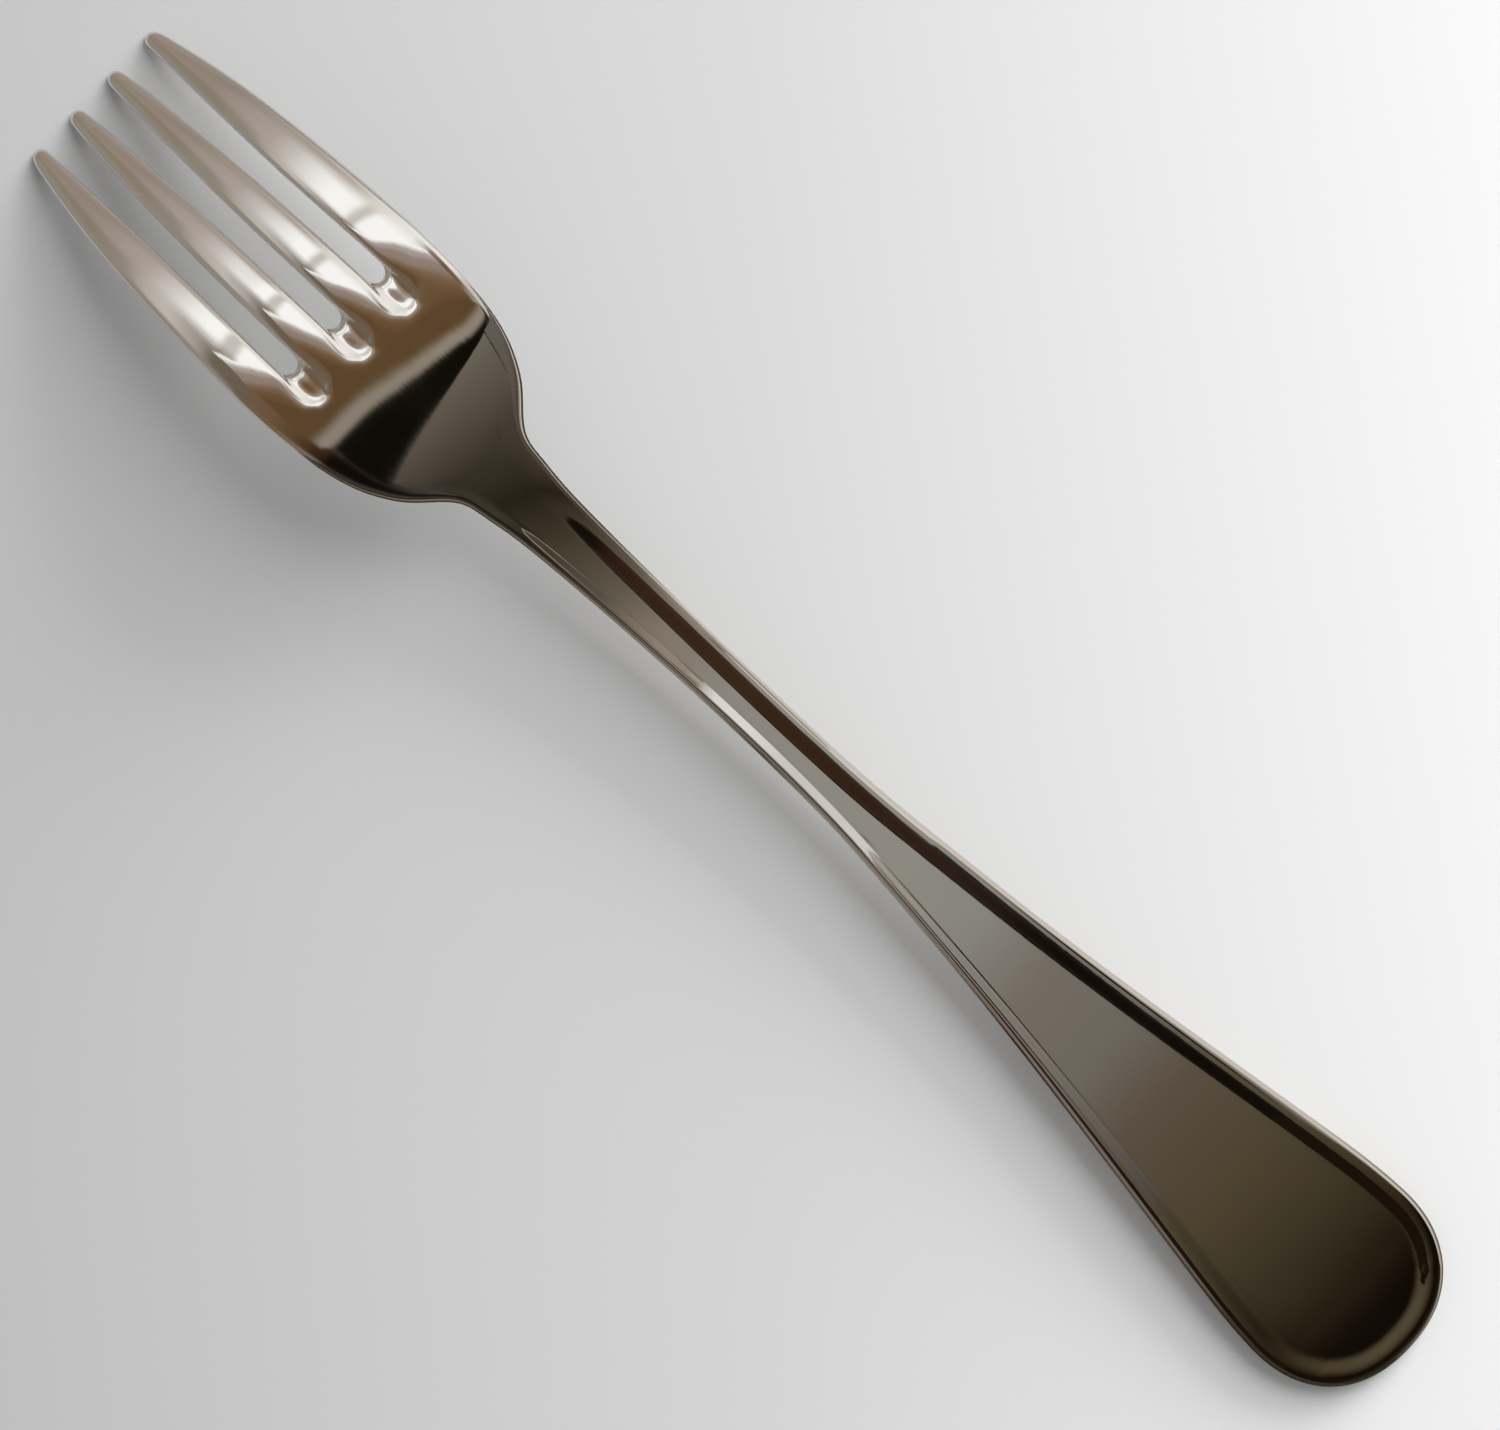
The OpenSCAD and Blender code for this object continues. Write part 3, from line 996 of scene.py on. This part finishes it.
LAMPS = (Lamp("window", (0.15, -1.95, 0.5), 1.2, 45.5), Lamp("key", (0.1, -1.2, 1.34), 1.3, 18.5))
ROOM = (
    Strip((
        (-75, 0.1, 0.08, 0.07), (-18, 0.07, 0.06, 0.05), (-14, 0.16, 0.14, 0.12), (-8, 0.17, 0.15, 0.13),
        (8, 0.09, 0.08, 0.07), (13, 0.6, 0.56, 0.56), (17, 1.27, 1.29, 1.3), (36, 1.27, 1.29, 1.3),
        (37.2, 0.75, 0.73, 0.68), (38.8, 0.75, 0.73, 0.68), (40, 1.28, 1.3, 1.3), (43, 1.28, 1.3, 1.3),
        (47.5, 0.76, 0.73, 0.69), (51, 0.55, 0.49, 0.46), (62, 0.4, 0.33, 0.28), (80, 0.36, 0.29, 0.24),
    )),
    Strip((
        (-60, 0.03, 0.02, 0.01), (-35, 0.006, 0.004, 0.003), (-12, 0.008, 0.005, 0.003),
        (-9, 0.04, 0.018, 0.01), (-4, 0.053, 0.025, 0.013), (3, 0.12, 0.07, 0.03), (15, 0.2, 0.12, 0.07),
        (39, 0.2, 0.16, 0.12), (43, 0.45, 0.41, 0.37), (46.5, 0.72, 0.68, 0.64), (50, 0.6, 0.56, 0.5),
        (54, 0.38, 0.34, 0.3), (62, 0.33, 0.28, 0.22),
    ), 2, 15),
    Strip((
        (-78, 0.03, 0.02, 0.015), (-54, 0.06, 0.05, 0.035), (-20, 0.05, 0.04, 0.03),
        (-15, 0.08, 0.06, 0.05), (-10, 0.2, 0.17, 0.14), (-6, 0.25, 0.2, 0.17), (8, 0.22, 0.17, 0.12),
        (15, 0.2, 0.14, 0.09), (33, 0.2, 0.16, 0.12), (45, 0.36, 0.32, 0.28),
    ), 22, 36),
    Strip((
        (-60, 0.13, 0.11, 0.09), (-35, 0.1, 0.08, 0.06), (-22, 0.03, 0.02, 0.01),
        (-19, 0.03, 0.025, 0.015), (-15, 0.25, 0.23, 0.2), (-12.5, 0.38, 0.35, 0.31),
        (-4, 0.33, 0.3, 0.25), (0, 0.25, 0.16, 0.1), (8, 0.2, 0.12, 0.07), (15, 0.35, 0.25, 0.2),
        (19, 0.85, 0.82, 0.78), (22, 1.1, 1.08, 1.05), (35, 1.05, 1.03, 0.98), (41, 0.85, 0.82, 0.76),
        (45, 0.55, 0.5, 0.45), (62, 0.38, 0.31, 0.27),
    ), -12, -24),
    Strip((
        (-78, 0.42, 0.37, 0.32), (-60, 0.5, 0.45, 0.4), (-44, 0.8, 0.73, 0.65), (-3, 0.8, 0.73, 0.65),
        (8, 1.1, 1.08, 1.04), (22, 1.15, 1.15, 1.12), (42, 1.0, 0.98, 0.95), (50, 0.6, 0.54, 0.5),
        (62, 0.42, 0.36, 0.31),
    ), -28, -40),
)
BOARDS = (
    Board(
        "band_board", 400.0, ((203, 110), (-45, -200), (-86, -200), (-226, 80), (-10, 80), (20, 110)),
        (
            (-400, 0.003, 0.002, 0.001), (-60, 0.006, 0.005, 0.002), (-48, 0.01, 0.008, 0.004),
            (-41, 0.035, 0.03, 0.02), (-27, 0.26, 0.23, 0.19), (-18, 0.35, 0.31, 0.26),
            (3, 0.36, 0.31, 0.25), (12, 0.31, 0.26, 0.2), (28, 0.2, 0.145, 0.095), (36, 0.155, 0.1, 0.056),
            (46, 0.14, 0.08, 0.036), (230, 0.16, 0.09, 0.04),
        ),
        1.0, (-62, 26),
    ),
    Board(
        "root_board", 400.0, ((388, 110), (172, -160), (-13, -160), (203, 110)),
        (
            (115, 0.16, 0.09, 0.04), (157, 0.2, 0.12, 0.06), (191, 0.27, 0.18, 0.11),
            (213, 0.36, 0.28, 0.22), (245, 0.38, 0.3, 0.27), (256, 0.48, 0.42, 0.39),
            (272, 0.52, 0.48, 0.45), (284, 0.95, 0.93, 0.9), (294, 1.27, 1.29, 1.3),
        ),
        0.8,
    ),
    Board(
        "neck_board", 30.0,
        (
            (41, -13), (33, 10.5), (27, 6.5), (24.3, 4.2), (22, 2.9), (18, 2.3), (8, 1.8), (-27, 1.8),
            (-27, -4.5), (22, -5), (26, -8), (30, -11),
        ),
        (
            (-27, 0.37, 0.36, 0.32), (2, 0.35, 0.34, 0.31), (11, 0.3, 0.25, 0.2), (16, 0.16, 0.14, 0.1),
            (22, 0.07, 0.055, 0.035), (25, 0.026, 0.02, 0.01), (31, 0.11, 0.09, 0.07),
            (34, 0.145, 0.12, 0.095), (42, 0.2, 0.18, 0.145),
        ),
        0.15,
    ),
    Board(
        "side_board", 24.0,
        (
            (44, -12), (40, -11.5), (36, -10.5), (32, -7.5), (27, -5), (9, -4.3), (6, -11.5), (-10, -11.5),
            (-10, -160), (44, -160),
        ),
        (
            (-10, 0.5, 0.42, 0.35), (11, 0.35, 0.31, 0.25), (18, 0.14, 0.11, 0.09), (24, 0.08, 0.06, 0.04),
            (36, 0.15, 0.13, 0.11), (52, 0.19, 0.17, 0.14),
        ),
    ),
    # The two boards just over the table are a painted reflection of it for the steel to mirror: the far one
    # is dark, as painted shade where the fork shades the table.
    Board(
        "far_painted_shade_reflection", 0.35, ((52, 0), (52, 160), (-150, 160), (-150, 0)),
        (
            (-84, 0.03, 0.02, 0.01), (-64, 0.11, 0.09, 0.07), (-44, 0.03, 0.02, 0.015),
            (-28, 0.26, 0.24, 0.21), (-12, 0.3, 0.28, 0.25), (-4, 0.09, 0.07, 0.05), (6, 0.32, 0.28, 0.24),
            (18, 0.24, 0.2, 0.16), (36, 0.06, 0.045, 0.03),
        ),
    ),
    # Painted reflection of the lit table, mostly in the table's tone and darker towards its ends.
    Board(
        "near_painted_table_reflection", 0.35, ((52, 0), (52, -160), (-150, -160), (-150, 0)),
        (
            (-93, 0.15, 0.12, 0.09), (-82, 0.4, 0.36, 0.31), (-72, 0.72, 0.68, 0.64),
            (13, 0.72, 0.68, 0.64), (19, 0.4, 0.35, 0.3), (25, 0.12, 0.1, 0.08), (31, 0.12, 0.1, 0.08),
            (37, 0.05, 0.04, 0.03), (45, 0.1, 0.08, 0.065), (52, 0.35, 0.31, 0.27),
        ),
    ),
    Board(
        "end_board", 110.0, ((-103, 14), (-103, 60), (-135, 60), (-135, 14)),
        ((-135, 0.012, 0.008, 0.004), (-103, 0.012, 0.008, 0.004)),
    ),
    Board(
        "card", 60.0, ((3, -14), (-29.5, -14), (-29.5, -60), (3, -60)),
        (
            (-29.5, 0.85, 0.84, 0.82), (-13, 0.78, 0.77, 0.75), (-5, 0.97, 0.96, 0.93),
            (1, 0.95, 0.94, 0.9), (3, 0.6, 0.57, 0.52),
        ),
    ),
    Board(
        "handle_board", 120.0,
        (
            (-33, -14.5), (-33, 14.5), (-132, 14.5), (-138, 45), (-260, 45), (-260, -100), (-106, -60),
            (-101, -14.5),
        ),
        (
            (-260, 0.06, 0.05, 0.035), (-165, 0.01, 0.008, 0.004), (-137, 0.007, 0.004, 0.002),
            (-126, 0.028, 0.018, 0.009), (-101, 0.1, 0.08, 0.045), (-85, 0.14, 0.11, 0.08),
            (-75, 0.21, 0.19, 0.16), (-62, 0.24, 0.21, 0.18), (-50, 0.34, 0.34, 0.31),
            (-33, 0.37, 0.36, 0.32),
        ),
    ),
)


@dataclass
class Studio:
    """Pale table, soft light and the camera over them."""

    floor_size: float = 3.0
    table_roughness: float = 0.9
    # Painted shade: the table's colour darkens towards the left of the picture, away from the light.
    table_painted_falloff: tuple[Stop, ...] = (
        (-80.5, 0.6, 0.6, 0.6), (0.0, 0.73, 0.73, 0.73), (80.5, 0.94, 0.94, 0.94),
    )
    table_light: Floats = (0.8, 0.8, 0.8, 1.0)
    table_light_strength: float = 0.41
    camera_place: Spot = (0.27 * MM, -0.05 * MM, 0.5)
    lens: float = 111.8
    sensor_width: float = 36.0
    nearest: float = 0.01
    image_right: Spot = (-0.7235, -0.6903, 0.0)
    image_up: Spot = (0.6903, -0.7235, 0.0)

    def floor(self) -> None:
        """Lays the pale table, with painted shade that makes it a little darker to the left of the picture,
        away from the light.
        """
        bm = bmesh.new()
        bmesh.ops.create_grid(bm, x_segments=2, y_segments=2, size=self.floor_size / 2)
        floor = put("floor", bm)
        material, tree = new_material("table_top")
        shader = tree.nodes["Principled BSDF"]
        shader.inputs["Roughness"].default_value = self.table_roughness
        shader.inputs["Specular IOR Level"].default_value = 0.0
        where = add_node(tree, "ShaderNodeTexCoord")
        axes = {0: where.outputs["Object"], 1: self.image_right}
        side = add_node(tree, "ShaderNodeVectorMath", axes, operation="DOT_PRODUCT")
        # The table's colour carries painted shade, darker to the left of the picture.
        tone = ramp(tree, side.outputs["Value"], self.table_painted_falloff, MM)
        tree.links.new(tone, shader.inputs["Base Color"])
        floor.data.materials.append(material)

    def lamp(self, plan: Lamp) -> None:
        """Hangs one lamp."""
        data = bpy.data.lights.new(plan.name, "AREA")
        data.shape = "SQUARE"
        data.size = plan.size
        data.energy = plan.power
        lamp = put(plan.name, data)
        lamp.location = plan.place
        lamp.rotation_euler = (-lamp.location).to_track_quat("-Z", "Y").to_euler()
        lamp.visible_glossy = False

    def room(self) -> None:
        """Paints what surrounds the table: plain light for the table, and a room for the steel to mirror."""
        world = bpy.data.worlds.new("room")
        bpy.context.scene.world = world
        world.use_nodes = True
        tree = world.node_tree
        tree.nodes.clear()
        where = add_node(tree, "ShaderNodeTexCoord")
        axes = add_node(tree, "ShaderNodeSeparateXYZ", {"Vector": where.outputs["Generated"]}).outputs
        along, aside = (
            add_node(tree, "ShaderNodeMath", {0: axes[axis], 1: axes["Z"]}, operation="ARCTAN2").outputs[0]
            for axis in ("X", "Y")
        )
        shade = None
        for strip in ROOM:
            painted = ramp(tree, along, strip.stops, math.pi / 180, (-90, 90))
            if shade is None:
                shade = painted
                continue
            covered = (math.radians(strip.begins), math.radians(strip.covers))
            cover = remap(tree, aside, covered, interpolation_type="SMOOTHSTEP")
            both = {"Factor": cover, "A": shade, "B": painted}
            shade = add_node(tree, "ShaderNodeMix", both, data_type="RGBA").outputs["Result"]
        path = add_node(tree, "ShaderNodeLightPath").outputs
        colours = {"Factor": path["Is Glossy Ray"], "A": self.table_light, "B": shade}
        colour = add_node(tree, "ShaderNodeMix", colours, data_type="RGBA").outputs["Result"]
        rays = {0: path["Is Glossy Ray"], 1: path["Is Camera Ray"]}
        seen = add_node(tree, "ShaderNodeMath", rays, operation="MAXIMUM").outputs["Value"]
        strengths = {"Factor": seen, "A": self.table_light_strength, "B": 1.0}
        strength = add_node(tree, "ShaderNodeMix", strengths).outputs["Result"]
        light = add_node(tree, "ShaderNodeBackground", {"Color": colour, "Strength": strength})
        add_node(tree, "ShaderNodeOutputWorld", {"Surface": light.outputs["Background"]})

    def board(self, plan: Board) -> None:
        """Hangs a painted board that only the steel's mirror shows.

        Args:
            plan: What the board looks like and where it hangs.
        """
        bm = bmesh.new()
        bm.faces.new([bm.verts.new((x * MM, y * MM, plan.height * MM)) for x, y in plan.corners])
        board = put(plan.name, bm)
        board.visible_camera = board.visible_shadow = False
        board.visible_diffuse = board.visible_transmission = board.visible_volume_scatter = False
        material, tree = new_material(plan.name)
        tree.nodes.clear()
        where = add_node(tree, "ShaderNodeTexCoord")
        axes = add_node(tree, "ShaderNodeSeparateXYZ", {"Vector": where.outputs["Object"]})
        low, high = (place * MM for place in plan.slanted)
        shift = remap(tree, axes.outputs["Y"], (low, high), (-plan.slant * low, -plan.slant * high))
        along = add_node(tree, "ShaderNodeMath", {0: axes.outputs["X"], 1: shift}).outputs["Value"]
        glow = add_node(tree, "ShaderNodeEmission", {"Color": ramp(tree, along, plan.stops, MM)})
        add_node(tree, "ShaderNodeOutputMaterial", {"Surface": glow.outputs["Emission"]})
        board.data.materials.append(material)

    def camera(self) -> None:
        """Sets the camera straight over the fork, turned as the picture is."""
        data = bpy.data.cameras.new("camera")
        data.lens = self.lens
        data.sensor_width = self.sensor_width
        data.clip_start = self.nearest
        camera = put("camera", data)
        right, up = Vector(self.image_right), Vector(self.image_up)
        turn = Matrix((right, up, right.cross(up))).transposed()
        camera.matrix_world = Matrix.Translation(self.camera_place) @ turn.to_4x4()
        bpy.context.scene.camera = camera

    def build(self) -> None:
        """Lays the table, hangs the lamps and the boards, and sets the camera."""
        self.floor()
        for lamp in LAMPS:
            self.lamp(lamp)
        self.room()
        for plan in BOARDS:
            self.board(plan)
        self.camera()
        bpy.context.scene.view_settings.view_transform = "Standard"


def main() -> None:
    """Builds the fork and its studio, and reports each piece."""
    logging.basicConfig(level=logging.INFO, format="%(name)s: %(message)s")
    pieces = Fork().build(PolishedSteel().material())
    log.info("%d pieces", len(pieces))
    Studio().build()


if __name__ == "__main__":
    main()
